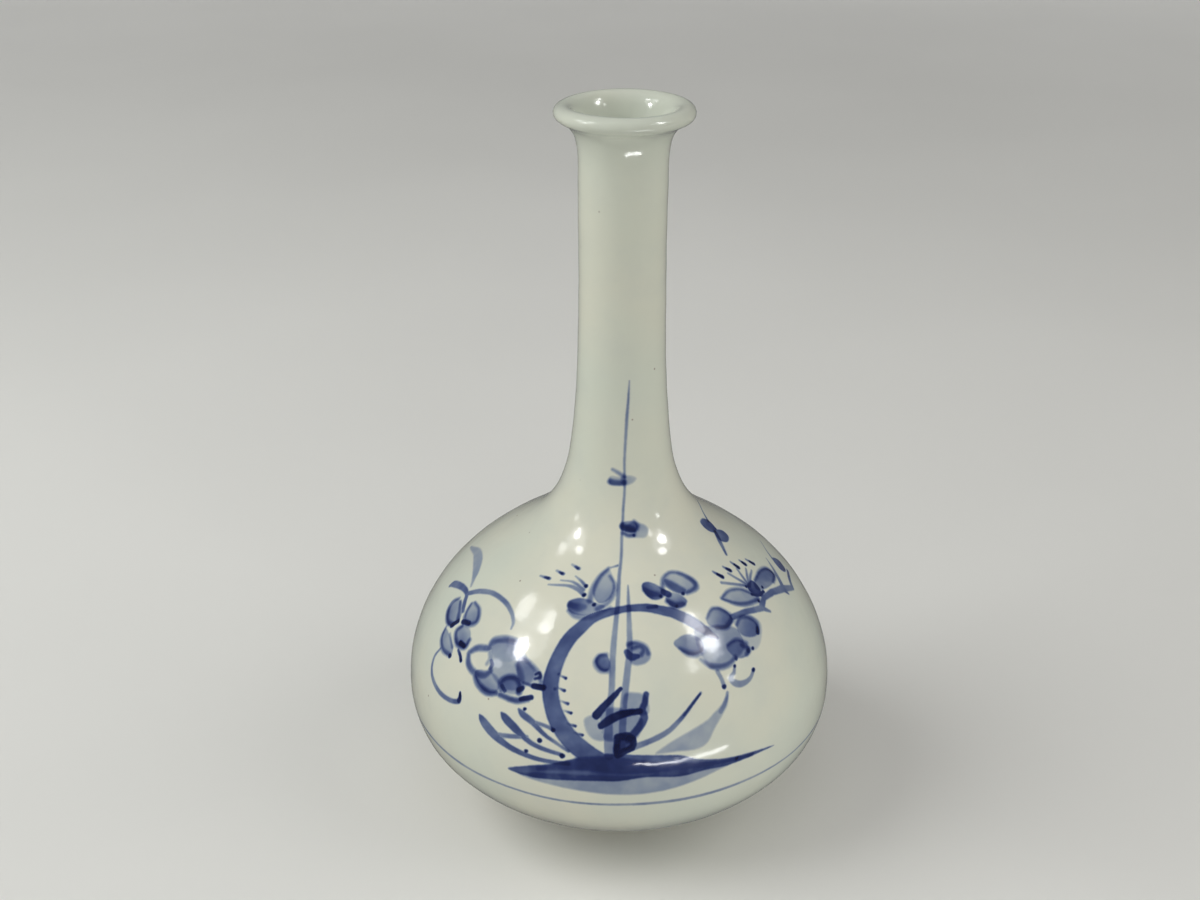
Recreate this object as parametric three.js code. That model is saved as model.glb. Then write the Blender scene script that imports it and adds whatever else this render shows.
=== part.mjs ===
// A long-necked porcelain sake bottle, standing on its foot ring. Millimetres, +Z up, with the origin at
// the centre of the foot on the surface that it stands on.
//
// The bottle is one fired pot. Its pieces are the sections that the potter throws, the slip that lutes
// two sections together, and the coats of glaze. All of them are turned round one axis, so each piece is a
// lathed section through its wall. A point on a section is [radius, height].
import * as THREE from "three";

// Driving dimensions.
const BELLY_RADIUS = 77.7; // at the widest part
const BELLY_HEIGHT = 46.5; // height of the widest part
const NECK_RADIUS = 14.9;
const BORE_RADIUS = 10.5; // through the neck
const LIP_CENTRE_RADIUS = 19.5; // to the middle of the rolled lip
const LIP_CENTRE_HEIGHT = 254.8;
const LIP_HALF_WIDTH = 3.3;
const LIP_HALF_THICKNESS = 2.6;
const FOOT_RADIUS = 39.5; // where the foot ring meets the belly
const FOOT_HEIGHT = 6;
const FOOT_TAPER = 1.5; // the foot ring narrows by this much on its way down
const RECESS_RADIUS = 31.2; // inside the foot ring, under the floor
const RECESS_RISE = 0.6; // the ceiling of the recess is this much higher in its middle
const STANDING_EDGE = [33.4, 36.9]; // inner and outer radius of the flat edge that the bottle stands on
const FLOOR_HEIGHT = 13.5; // inside, in the middle
const STANDING_EDGE_ROUND = 0.9; // both corners of that edge

const GLAZE = 0.4; // thickness of every coat
const GLAZE_LINE = 2.2; // height at which the glaze is wiped off the foot ring
const GLAZE_EDGE_WIDTH = 0.28; // of the outside coat's lower edge, which is bevelled
const SLIP = 0.8; // thickness of a luted joint
const NECK_JOINT_HEIGHT = 120;
const RIM_HEIGHT = 240; // where the mouth starts to open out of the neck
const SEGMENTS = 36; // round the axis

const PORCELAIN = { color: 0xe4e2d6, roughness: 0.6 };
const SLIP_CLAY = { color: 0xdad6c6, roughness: 0.7 };
const CLEAR_GLAZE = { color: 0xcfd3c4, roughness: 0.12 };
const BARE_PORCELAIN = { color: 0xd9cbb4, roughness: 0.85 };

const toVectors = (points) => points.map(([radius, height]) => new THREE.Vector2(radius, height));

// The rolled lip, from under its outer side over the crest to where it turns down into the mouth.
const lip = new THREE.EllipseCurve(
  LIP_CENTRE_RADIUS,
  LIP_CENTRE_HEIGHT,
  LIP_HALF_WIDTH,
  LIP_HALF_THICKNESS,
  THREE.MathUtils.degToRad(-62),
  THREE.MathUtils.degToRad(150),
);

// The glazed outside, from the foot ring up to the lip.
const outside = new THREE.SplineCurve([
  ...toVectors([
    [FOOT_RADIUS, FOOT_HEIGHT],
    [53.4, 12],
    [68.5, 23.5],
    [75.3, 33.5],
    [BELLY_RADIUS, BELLY_HEIGHT],
    [75.9, 60],
    [68.7, 76],
    [57.1, 90],
    [44.4, 100],
    [33, 108],
    [26.9, 114],
    [22.3, 121.6],
    [18.8, 132],
    [17, 144],
    [15.7, 161],
    [NECK_RADIUS, 185],
    [NECK_RADIUS, 212],
    [NECK_RADIUS + 0.1, 236],
    [15.4, 244],
    [18, 250.4],
  ]),
  lip.getPoint(0),
]);

// The glazed inside, from the lip down through the bore to the edge of the floor.
const inside = new THREE.SplineCurve([
  lip.getPoint(1),
  ...toVectors([
    [14.6, 252],
    [12.2, 246],
    [11, 238],
    [BORE_RADIUS, 220],
    [BORE_RADIUS, 190],
    [11.2, 160],
    [12.7, 139],
    [15.2, 127],
    [18.6, 117.8],
    [24.7, 108.5],
    [31.4, 102.8],
    [41.5, 95.5],
    [53.5, 86.2],
    [64.3, 73.2],
    [70.9, 58.6],
    [BELLY_RADIUS - 5.2, BELLY_HEIGHT],
    [70.4, 35.6],
    [64.2, 27.4],
    [50, 18],
    [32, 14.3],
  ]),
]);

// The place along a curve whose heights only rise, or only fall, at which it passes the given height.
function placeAtHeight(curve, height) {
  const rises = curve.getPoint(1).y > curve.getPoint(0).y;
  let low = 0;
  let high = 1;
  for (let step = 0; step < 40; step += 1) {
    const middle = (low + high) / 2;
    if (curve.getPoint(middle).y < height === rises) low = middle;
    else high = middle;
  }
  return (low + high) / 2;
}

// One stretch of the wall's surface, as points on the glass and points on the clay under it. Both curves
// run with the clay on their left, so the clay lies one coat to the left of the glass.
function stretch(curve, from, to, steps) {
  const glass = [];
  const clay = [];
  for (let step = 0; step <= steps; step += 1) {
    const place = from + ((to - from) * step) / steps;
    const point = curve.getPoint(place);
    const along = curve.getTangent(place);
    glass.push(point);
    clay.push(new THREE.Vector2(point.x - along.y * GLAZE, point.y + along.x * GLAZE));
  }
  return { glass, clay };
}

const stretchByHeight = (curve, from, to, steps) =>
  stretch(curve, placeAtHeight(curve, from), placeAtHeight(curve, to), steps);

// Stretches that follow each other share their end points, so the pieces that they bound meet exactly.
function join(...stretches) {
  const skipFirst = (points, index) => (index === 0 ? points : points.slice(1));
  return {
    glass: stretches.flatMap((part, index) => skipFirst(part.glass, index)),
    clay: stretches.flatMap((part, index) => skipFirst(part.clay, index)),
  };
}

const LOWER_JOINT = BELLY_HEIGHT - SLIP / 2;
const UPPER_JOINT = BELLY_HEIGHT + SLIP / 2;
const SHOULDER_TOP = NECK_JOINT_HEIGHT - SLIP / 2;
const NECK_START = NECK_JOINT_HEIGHT + SLIP / 2;

const outer = {
  lower: stretch(outside, 0, placeAtHeight(outside, LOWER_JOINT), 5),
  bellySlip: stretchByHeight(outside, LOWER_JOINT, UPPER_JOINT, 1),
  upper: stretchByHeight(outside, UPPER_JOINT, SHOULDER_TOP, 9),
  neckSlip: stretchByHeight(outside, SHOULDER_TOP, NECK_START, 1),
  neck: stretchByHeight(outside, NECK_START, RIM_HEIGHT, 6),
  rim: stretch(outside, placeAtHeight(outside, RIM_HEIGHT), 1, 3),
};
const lipRoll = stretch(lip, 0, 1, 7);
const inner = {
  rim: stretch(inside, 0, placeAtHeight(inside, RIM_HEIGHT), 3),
  neck: stretchByHeight(inside, RIM_HEIGHT, NECK_START, 4),
  neckSlip: stretchByHeight(inside, NECK_START, SHOULDER_TOP, 1),
  upper: stretchByHeight(inside, SHOULDER_TOP, UPPER_JOINT, 7),
  bellySlip: stretchByHeight(inside, UPPER_JOINT, LOWER_JOINT, 1),
  lower: stretch(inside, placeAtHeight(inside, LOWER_JOINT), 1, 4),
};

// The foot ring's outer wall under its coat, from the glaze line up to the belly.
const footTop = outer.lower.clay[0];
const footWallAt = (height) =>
  new THREE.Vector2(footTop.x - (FOOT_TAPER * (FOOT_HEIGHT - height)) / FOOT_HEIGHT, height);

const bottle = new THREE.Group();

function addTurned(name, section, finish) {
  const geometry = new THREE.LatheGeometry(section, SEGMENTS);
  const material = new THREE.MeshStandardMaterial({ ...finish, metalness: 0 });
  const mesh = new THREE.Mesh(geometry, material);
  mesh.name = name;
  bottle.add(mesh);
}

// A ring of wall between a stretch of its outside and the matching stretch of its inside.
function wallSection(outerClay, innerClay) {
  return [...outerClay, ...innerClay, outerClay[0]];
}

// A coat of glaze between its free surface and the clay that it lies on.
function coatSection(glass, clay) {
  return [...glass, ...[...clay].reverse(), glass[0]];
}

function addFootRing() {
  const [edgeInside, edgeOutside] = STANDING_EDGE;
  // The middle of a round corner lies this far in and up from the sharp corner.
  const cornerRun = STANDING_EDGE_ROUND * (1 - Math.SQRT1_2);
  const section = [
    new THREE.Vector2(RECESS_RADIUS, footTop.y),
    new THREE.Vector2(edgeInside - STANDING_EDGE_ROUND, STANDING_EDGE_ROUND),
    new THREE.Vector2(edgeInside - STANDING_EDGE_ROUND + cornerRun, cornerRun),
    new THREE.Vector2(edgeInside, 0),
    new THREE.Vector2(edgeOutside, 0),
    new THREE.Vector2(edgeOutside + STANDING_EDGE_ROUND - cornerRun, cornerRun),
    footWallAt(STANDING_EDGE_ROUND),
    footWallAt(GLAZE_LINE),
    footTop,
    new THREE.Vector2(RECESS_RADIUS, footTop.y),
  ];
  addTurned("foot_ring", section, BARE_PORCELAIN);
}

function addLowerBody() {
  const section = [
    new THREE.Vector2(0, footTop.y + RECESS_RISE),
    new THREE.Vector2(RECESS_RADIUS, footTop.y),
    ...outer.lower.clay,
    ...inner.lower.clay,
    new THREE.Vector2(0, FLOOR_HEIGHT - GLAZE),
  ];
  addTurned("lower_body", section, PORCELAIN);
}

function addOuterGlaze() {
  const path = join(
    outer.lower,
    outer.bellySlip,
    outer.upper,
    outer.neckSlip,
    outer.neck,
    outer.rim,
    lipRoll,
    inner.rim,
  );
  const line = footWallAt(GLAZE_LINE);
  const lineOut = new THREE.Vector2(line.x + GLAZE_EDGE_WIDTH, line.y + GLAZE);
  addTurned("outer_glaze", coatSection([lineOut, ...path.glass], [line, ...path.clay]), CLEAR_GLAZE);
}

function addInnerGlaze() {
  const path = join(inner.neck, inner.neckSlip, inner.upper, inner.bellySlip, inner.lower);
  const section = [
    new THREE.Vector2(0, FLOOR_HEIGHT - GLAZE),
    ...[...path.clay].reverse(),
    ...path.glass,
    new THREE.Vector2(0, FLOOR_HEIGHT),
  ];
  addTurned("inner_glaze", section, CLEAR_GLAZE);
}

// The coat on the underside runs a little way down the inner wall of the foot ring.
function addBaseGlaze() {
  const wallDrop = footTop.y - GLAZE_LINE;
  const wallFoot = STANDING_EDGE[0] - STANDING_EDGE_ROUND;
  const wallRun = ((wallFoot - RECESS_RADIUS) * wallDrop) / (footTop.y - STANDING_EDGE_ROUND);
  const section = [
    new THREE.Vector2(0, footTop.y + RECESS_RISE - GLAZE),
    new THREE.Vector2(RECESS_RADIUS - GLAZE, footTop.y - GLAZE),
    new THREE.Vector2(RECESS_RADIUS - GLAZE + wallRun, GLAZE_LINE + GLAZE),
    new THREE.Vector2(RECESS_RADIUS + wallRun, GLAZE_LINE),
    new THREE.Vector2(RECESS_RADIUS, footTop.y),
    new THREE.Vector2(0, footTop.y + RECESS_RISE),
  ];
  addTurned("base_glaze", section, CLEAR_GLAZE);
}

addFootRing();
addLowerBody();
addTurned("belly_luting", wallSection(outer.bellySlip.clay, inner.bellySlip.clay), SLIP_CLAY);
addTurned("upper_body", wallSection(outer.upper.clay, inner.upper.clay), PORCELAIN);
addTurned("neck_luting", wallSection(outer.neckSlip.clay, inner.neckSlip.clay), SLIP_CLAY);
addTurned("neck", wallSection(outer.neck.clay, inner.neck.clay), PORCELAIN);
addTurned("mouth_rim", wallSection(join(outer.rim, lipRoll, inner.rim).clay, []), PORCELAIN);
addOuterGlaze();
addInnerGlaze();
addBaseGlaze();

// A lathe turns round Y, so the whole bottle is stood up along Z.
bottle.rotation.x = Math.PI / 2;

export default bottle;
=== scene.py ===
"""A long-necked porcelain sake bottle with a cobalt painting under its clear glaze.

Every turned piece comes from one outline, [radius, height] in millimetres, which is the outline of the CAD
model made smooth. The painting is a list of brush marks, placed by degrees round the bottle and millimetres
of height. It is kept on the skin as the distance to each mark's edge, and the glaze's nodes turn that into
pigment.
"""
import math

import bpy
import numpy as np
from mathutils import Matrix, Vector


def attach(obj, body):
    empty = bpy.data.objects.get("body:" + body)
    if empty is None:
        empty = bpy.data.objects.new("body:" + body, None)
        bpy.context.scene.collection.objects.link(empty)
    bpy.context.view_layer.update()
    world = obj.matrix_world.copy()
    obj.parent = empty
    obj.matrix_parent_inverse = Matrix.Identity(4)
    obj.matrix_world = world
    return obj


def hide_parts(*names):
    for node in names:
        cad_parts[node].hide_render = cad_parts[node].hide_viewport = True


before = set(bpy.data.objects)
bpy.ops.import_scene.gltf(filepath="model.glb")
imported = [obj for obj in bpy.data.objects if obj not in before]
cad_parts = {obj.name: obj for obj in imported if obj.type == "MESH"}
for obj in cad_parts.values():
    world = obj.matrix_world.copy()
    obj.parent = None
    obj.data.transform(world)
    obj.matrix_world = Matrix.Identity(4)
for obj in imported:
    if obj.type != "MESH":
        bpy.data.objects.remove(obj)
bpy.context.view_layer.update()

MM = 0.001
BODY = "root"

# ---------------------------------------------------------------- outline, in millimetres
GLAZE = 0.4
GLAZE_LINE = 2.2
BELLY_JOINT = 46.5
NECK_JOINT = 120.0
SLIP = 0.8
RIM_HEIGHT = 240.0
FLOOR_HEIGHT = 13.5
FOOT_HEIGHT = 6.0
FOOT_TAPER = 1.5
RECESS_RADIUS = 31.2
RECESS_RISE = 0.6
STANDING_EDGE = (33.4, 36.9)
EDGE_ROUND = 0.9

OUTSIDE = [
    (39.5, 6), (53.4, 12), (68.5, 23.5), (75.3, 33.5), (77.7, 46.5), (75.9, 60), (68.7, 76), (57.1, 90),
    (44.4, 100), (33, 108), (26.9, 114), (22.3, 121.6), (18.8, 132), (17, 144), (15.7, 161), (14.9, 185),
    (14.9, 212), (15, 236), (15.4, 244), (18, 250.4),
]
LIP_CENTRE = (19.5, 254.8)
LIP_HALF_SIZE = (3.3, 2.6)
LIP_FROM, LIP_TO, LIP_STEPS = -62, 150, 12
INSIDE = [
    (14.6, 252), (12.2, 246), (11, 238), (10.5, 220), (10.5, 190), (11.2, 160), (12.7, 139), (15.2, 127),
    (18.6, 117.8), (24.7, 108.5), (31.4, 102.8), (41.5, 95.5), (53.5, 86.2), (64.3, 73.2), (70.9, 58.6),
    (72.5, 46.5), (70.4, 35.6), (64.2, 27.4), (50, 18), (32, 14.3), (0, 13.5),
]


def spline(points, step):
    """A natural cubic spline through points, about step apart along its length."""
    points = np.array(points, float)
    knots = np.concatenate([[0], np.cumsum(np.linalg.norm(np.diff(points, axis=0), axis=1))])
    gaps = np.diff(knots)
    n = len(points)
    system = np.eye(n)
    right = np.zeros((n, points.shape[1]))
    for k in range(1, n - 1):
        system[k, k - 1 : k + 2] = gaps[k - 1], 2 * (gaps[k - 1] + gaps[k]), gaps[k]
        slopes = (points[k + 1] - points[k]) / gaps[k] - (points[k] - points[k - 1]) / gaps[k - 1]
        right[k] = 6 * slopes
    bend = np.linalg.solve(system, right)
    places = np.linspace(0, knots[-1], int(knots[-1] / step) + 1)
    k = np.clip(np.searchsorted(knots, places, side="right") - 1, 0, n - 2)
    h = gaps[k][:, None]
    a = (knots[k + 1] - places)[:, None] / h
    b = (places - knots[k])[:, None] / h
    cubic = ((a**3 - a) * bend[k] + (b**3 - b) * bend[k + 1]) * h**2 / 6
    return a * points[k] + b * points[k + 1] + cubic


def lip_points():
    angles = np.radians(np.linspace(LIP_FROM, LIP_TO, LIP_STEPS))
    return [
        (LIP_CENTRE[0] + LIP_HALF_SIZE[0] * math.cos(a), LIP_CENTRE[1] + LIP_HALF_SIZE[1] * math.sin(a))
        for a in angles
    ]


SAMPLE = 0.1
glass = spline(OUTSIDE + lip_points() + INSIDE, SAMPLE)
glass_s = np.concatenate([[0], np.cumsum(np.linalg.norm(np.diff(glass, axis=0), axis=1))])
along = np.gradient(glass, glass_s, axis=0)
along /= np.linalg.norm(along, axis=1)[:, None]
outward = np.stack([along[:, 1], -along[:, 0]], axis=1)
top_index = int(np.argmax(glass[:, 1]))


def outline_at(s):
    return np.stack([np.interp(s, glass_s, glass[:, k]) for k in (0, 1)], axis=-1)


def outward_at(s):
    n = np.stack([np.interp(s, glass_s, outward[:, k]) for k in (0, 1)], axis=-1)
    return n / np.linalg.norm(n, axis=-1, keepdims=True)


def place_outside(height):
    """Length along the outline to a height on the outside."""
    return np.interp(height, glass[:top_index, 1], glass_s[:top_index])


def place_inside(height):
    return np.interp(-np.asarray(height, float), -glass[top_index:, 1], glass_s[top_index:])


THROAT = float(place_inside(RIM_HEIGHT))
GLASS_END = float(glass_s[-1])


def stretch(start, end, step, depth=0.0):
    """Points of the outline from start to end, depth under the glass."""
    s = np.linspace(start, end, max(2, int(abs(end - start) / step) + 1))
    return outline_at(s) - outward_at(s) * depth


# ---------------------------------------------------------------- brush marks
WASH, BAND, SOFT, LINE, DARK = "wash", "band", "soft", "line", "dark"
LAYERS = (WASH, BAND, SOFT, LINE, DARK)
FINEST_STROKE = 0.3
marks = []


def turned(az, rh):
    """Places in millimetres, from degrees round (0 at the painted front, growing to the right) and [r, h]."""
    a = np.radians(az)
    return np.stack([rh[..., 0] * np.sin(a), -rh[..., 0] * np.cos(a), rh[..., 1]], axis=-1)


def on_skin(az, s):
    return turned(az, outline_at(s))


def smooth(points, closed=False, sub=6):
    """A Catmull-Rom curve through points."""
    p = np.array(points, float)
    if len(p) < 3:
        t = np.linspace(0, 1, sub + 1)[:, None]
        return p[0] * (1 - t) + p[-1] * t
    ext = np.vstack([p[-1], p, p[:2]]) if closed else np.vstack([2 * p[0] - p[1], p, 2 * p[-1] - p[-2]])
    out = []
    for k in range(len(ext) - 3):
        a, b, c, d = ext[k : k + 4]
        t = np.linspace(0, 1, sub, endpoint=False)[:, None]
        square, cube = 2 * a - 5 * b + 4 * c - d, 3 * b - a - 3 * c + d
        out.append(0.5 * (2 * b + (c - a) * t + square * t**2 + cube * t**3))
    if not closed:
        out.append(ext[-2][None])
    return np.vstack(out)


def stroke(layer, tone, *points):
    """A stroke through (degrees, height, width). tone is one number or (at the start, at the end)."""
    curve = smooth(points)
    tones = np.linspace(*(tone if isinstance(tone, tuple) else (tone, tone)), len(curve))
    s = place_outside(curve[:, 1])
    half = np.maximum(curve[:, 2], FINEST_STROKE) / 2
    marks.append((layer, None, curve[:, 0], s, on_skin(curve[:, 0], s), half, tones))


def fill(layer, tone, *points):
    """A filled shape with the outline (degrees, height).

    tone is one number, or (from, to, the angle that it changes toward: 0 up, 90 to the right).
    """
    curve = smooth(points, closed=True)
    s = place_outside(curve[:, 1])
    start, end, toward = tone if isinstance(tone, tuple) else (tone, tone, 0)
    shade = (start, end, math.radians(toward))
    marks.append((layer, shade, curve[:, 0], s, on_skin(curve[:, 0], s), None, None))


def strokes(layer, *lines):
    """Several strokes in one layer, each (tone, point, point, ...)."""
    for line in lines:
        stroke(layer, *line)


def fills(layer, *shapes):
    """Several filled shapes in one layer, each (tone, point, point, ...)."""
    for shape in shapes:
        fill(layer, *shape)


def dot(az, height, size, tone=0.95, layer=DARK):
    stroke(layer, tone, (az - 0.1, height, size), (az + 0.1, height + 0.1, size * 0.8))


PETAL_POINTS = 10
PETAL_BULGE = 0.22
PETAL_RIM = range(7, 14)
PETAL_RIM_WIDTHS = (0.5, 0.8, 1, 1.1, 1.1, 0.9, 0.5)


def petal(az, height, width, length, tilt, tone, rim, rim_width):
    """One petal: an egg-shaped fill, and a darker stroke round its outer end.

    tilt is in degrees to the right.
    """
    s0 = float(place_outside(height))
    radius = float(outline_at(place_outside(height))[0])
    lean = math.radians(tilt)
    shape = []
    for k in range(PETAL_POINTS):
        t = 2 * math.pi * k / PETAL_POINTS
        x = width / 2 * math.sin(t) * (1 + PETAL_BULGE * math.cos(t))
        y = length / 2 * math.cos(t)
        x, y = x * math.cos(lean) + y * math.sin(lean), -x * math.sin(lean) + y * math.cos(lean)
        h = float(np.interp(s0 + y, glass_s[:top_index], glass[:top_index, 1]))
        shape.append((az + math.degrees(x / radius), h))
    fill(BAND, tone, *shape)
    edge = [shape[k % PETAL_POINTS] for k in PETAL_RIM]
    stroke(LINE, rim, *[(a, h, w * rim_width) for (a, h), w in zip(edge, PETAL_RIM_WIDTHS)])


def paint_moon():
    """The thick open ring behind the stems, and the dots inside it."""
    stroke(
        BAND, 0.6, (-5, 58.5, 6), (-8, 60.5, 6.5), (-12, 64, 6.6), (-15.5, 68.5, 6.3), (-18, 73.3, 5.8),
        (-19.5, 78, 5.7), (-19.7, 82.5, 5.4), (-18.8, 87.3, 5), (-17, 91, 4.8), (-14.4, 93.5, 4.5),
        (-10.5, 96.1, 3.8), (-5, 97.5, 3), (0, 98.2, 2.6), (5, 98.6, 2.6), (12, 98.4, 3.1), (19, 97.2, 3.6),
        (22, 96.5, 3.8), (27, 94.3, 4), (30.5, 91.8, 3.6), (32.6, 90, 2.4), (34.4, 88.6, 1),
    )
    stroke(LINE, (0.45, 0.8), (12, 98.5, 1), (15.5, 98.5, 1.2))
    for az, h in ((-15.5, 81.3), (-15.3, 78), (-13.8, 74.6), (-12.6, 72.1), (-11.1, 68.5), (-9.1, 66)):
        stroke(DARK, (0.2, 0.9), (az - 2.2, h + 0.5, 0.5), (az, h, 1.0))
    dot(-17.8, 82, 1, 0.4)
    dot(-18, 78, 1.2, 0.4)


def paint_stems():
    strokes(
        LINE,
        (0.5, (10, 168, 0.5), (8.5, 160, 0.9), (7, 155, 1.1), (5.5, 147, 1.0), (4.3, 140, 0.9),
         (4.3, 130, 0.9), (3.2, 125, 0.9), (2.3, 120, 0.9), (1.4, 115, 1), (1, 110, 1), (-0.2, 105, 1.2),
         (-0.6, 100, 1.4), (-1.3, 95, 1.7), (-1.8, 90, 2), (-1.9, 85, 2), (-1.9, 80, 2.1), (-2.2, 75, 2.3),
         (-2.4, 70, 2.6), (-2.4, 65, 3), (-2.2, 60, 3)),
        (0.5, (4.2, 103.3, 0.4), (4, 100, 1.1), (3.8, 95, 1.7), (3.6, 90, 2), (2.8, 85, 2.2), (2, 80, 2.3),
         (1.4, 75, 2.3), (1.2, 70, 2.3), (1, 63, 2.3)),
    )
    # The upper leaf on the neck.
    fill(
        BAND, (0.18, 0.42, 180), (-12.5, 132.9), (-10, 134.1), (-4.1, 134), (1.9, 133.3), (4.9, 132.1),
        (4.4, 131.1), (-2.7, 130.9), (-10.3, 131),
    )
    strokes(
        SOFT,
        ((0.62, 0.5), (-10.6, 132, 2), (-2.7, 131.7, 1.9), (4.2, 131.9, 1.5)),
        (0.5, (-8.5, 136.3, 0.9), (-3, 135.4, 1.2), (3.6, 133.9, 1.3)),
    )
    fill(WASH, 0.3, (1.5, 134), (11.4, 134.1), (17.1, 133), (13.5, 131.6), (5.3, 130.8), (1.5, 131.4))
    # The lower leaf.
    fill(
        BAND, (0.34, 0.5, 180), (-0.2, 117.9), (1.4, 119), (7.5, 119.4), (12.6, 119), (14.5, 117.6),
        (12.4, 116.2), (6.1, 116.2), (0.5, 116.9),
    )
    strokes(
        SOFT,
        (0.68, (1.8, 117.9, 1.6), (7.1, 117.1, 2.1), (11.2, 116.5, 1.7)),
        (0.5, (2.6, 115.8, 0.9), (6.3, 115, 1.1), (10.9, 115.2, 1.1)),
        (0.42, (11.7, 119.3, 0.9), (14.6, 117.9, 1.1), (13.7, 116.7, 1)),
    )
    fill(
        WASH, 0.3, (9, 118.9), (18.5, 118.1), (22.7, 116.4), (19.6, 114.3), (13.3, 114.3), (7.6, 114.8),
        (2.6, 115.9),
    )
    dot(10.6, 115.1, 0.9, 0.7)
    # Buds beside the stems, at the middle of the moon.
    fill(
        BAND, (0.4, 0.62, 200), (-7.4, 86.5), (-6.2, 88.1), (-4, 88.3), (-2.8, 86.9), (-2.7, 84.9),
        (-4.1, 84.1), (-6.1, 84.7),
    )
    strokes(
        SOFT,
        (0.45, (-4, 88.3, 1.1), (-6.4, 87.7, 1.4), (-7.2, 86, 1.7), (-5.6, 84.4, 1.8), (-3.4, 84.2, 1.4)),
        (0.5, (3.2, 90.7, 1.3), (6, 91, 1.5), (8.8, 90, 1.7), (9.6, 88.4, 1.4)),
        (0.6, (4.7, 89.8, 1.2), (7, 90.2, 1.2), (8.2, 89.3, 1.2), (7.2, 88.1, 1.2)),
    )
    fill(WASH, 0.42, (3, 90.8), (6.5, 91), (9.5, 89.6), (10.2, 87.4), (7.6, 85.8), (4, 86.2))
    stroke(DARK, 0.66, (2.6, 88.9, 2), (3.9, 87.8, 2.6), (6, 87.8, 1.6))


def paint_upper_blossoms():
    # Left of the stems: an open blossom from the side, with long stamens.
    fills(
        BAND,
        ((0.42, 0.2, 20), (-12, 101.2), (-12.2, 103.4), (-9.8, 105.4), (-6.2, 106.8), (-3.4, 105),
         (-2.4, 102.6), (-4.4, 100.4), (-8.6, 99.4)),
        ((0.56, 0.26, 90), (-21.9, 98.6), (-18.8, 99.8), (-14.8, 100), (-9.4, 99.4), (-6, 98.8), (-9, 97.4),
         (-14.2, 96.4), (-19.8, 96.8)),
    )
    strokes(
        SOFT,
        (0.52, (-12.8, 99.8, 2), (-12.5, 102.4, 1.9), (-10.2, 105, 1.5), (-6.2, 106.9, 1)),
        (0.45, (-5, 105.2, 0.8), (-2.4, 103.6, 1.1), (-2.6, 101.4, 1.4), (-5.4, 99.4, 1.6), (-9, 98.2, 1.7)),
        ((0.5, 0.3), (-20.4, 98.2, 2), (-17.8, 98, 2.8), (-14.6, 98.2, 2)),
        ((0.55, 0.34), (-20.4, 96.9, 1.2), (-16.7, 96, 1.6), (-10.9, 96.4, 1.6), (-3.8, 98.7, 1.1)),
    )
    strokes(
        LINE,
        ((0.4, 0.65), (-34.2, 101, 0.6), (-25.5, 101.9, 1.1), (-20, 101.7, 1.6), (-16, 100.8, 1.6)),
        ((0.4, 0.65), (-29.5, 102.6, 0.5), (-23, 102.9, 0.9), (-17, 101.8, 1.5)),
        ((0.45, 0.75), (-23, 104.2, 0.5), (-19, 103.4, 1.0), (-16.2, 102.5, 1.2)),
    )
    for az, h in ((-15.8, 100.7), (-16, 102.6), (-10.5, 99)):
        dot(az, h, 1.3)
    for a, b in (
        ((-40.8, 102), (-35.4, 102.2)), ((-34.2, 104.2), (-29.8, 104)), ((-27.4, 106.4), (-22.6, 105.9)),
    ):
        stroke(LINE, (0.4, 0.7), (a[0], a[1], 0.8), (b[0], b[1], 1.2))
        stroke(DARK, (0.5, 0.85), ((a[0] + b[0]) / 2, (a[1] + b[1]) / 2, 0.8), (b[0] - 0.8, b[1], 1.0))
    stroke(LINE, (0.45, 0.6), (-4.8, 107.1, 0.5), (-1, 107.6, 0.8))
    # Right of the stems: a half-open blossom.
    fills(
        BAND,
        ((0.66, 0.42, 60), (11, 103.2), (14, 103.8), (18.5, 102.9), (21.5, 101.2), (19, 100), (14.8, 100),
         (11.8, 101.4)),
        ((0.2, 0.34, 200), (21.5, 103), (24.4, 104.6), (29.3, 104.8), (35.6, 103.4), (38, 101.1),
         (33.4, 99.9), (28.6, 100.1), (24.4, 101.2)),
        ((0.3, 0.6, 180), (20.4, 100), (24.4, 100.8), (28, 99.8), (29.4, 98.3), (26, 97.4), (22, 98)),
    )
    strokes(
        SOFT,
        (0.5, (12, 102.2, 1.8), (14.6, 101.3, 2.4), (18, 100.9, 2.0)),
        (0.5, (20.6, 102, 1.4), (22.6, 104, 1.2), (28, 104.9, 1.1), (33.4, 103.9, 1.5), (37.3, 101.8, 2),
         (36.4, 100.3, 1.9), (31, 99.9, 1.5)),
        (0.55, (23.4, 103.4, 1.8), (26.2, 102, 3), (29.4, 100.6, 2.8)),
        (0.6, (21, 99.2, 1.8), (23.6, 98, 2.3), (27, 97.9, 1.9)),
    )
    stroke(DARK, 0.7, (20.6, 101.2, 2.2), (22.4, 100.6, 2.4))
    for az, h in ((18.8, 100.5), (29.2, 100), (24.2, 97.8)):
        dot(az, h, 1.1)


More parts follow.
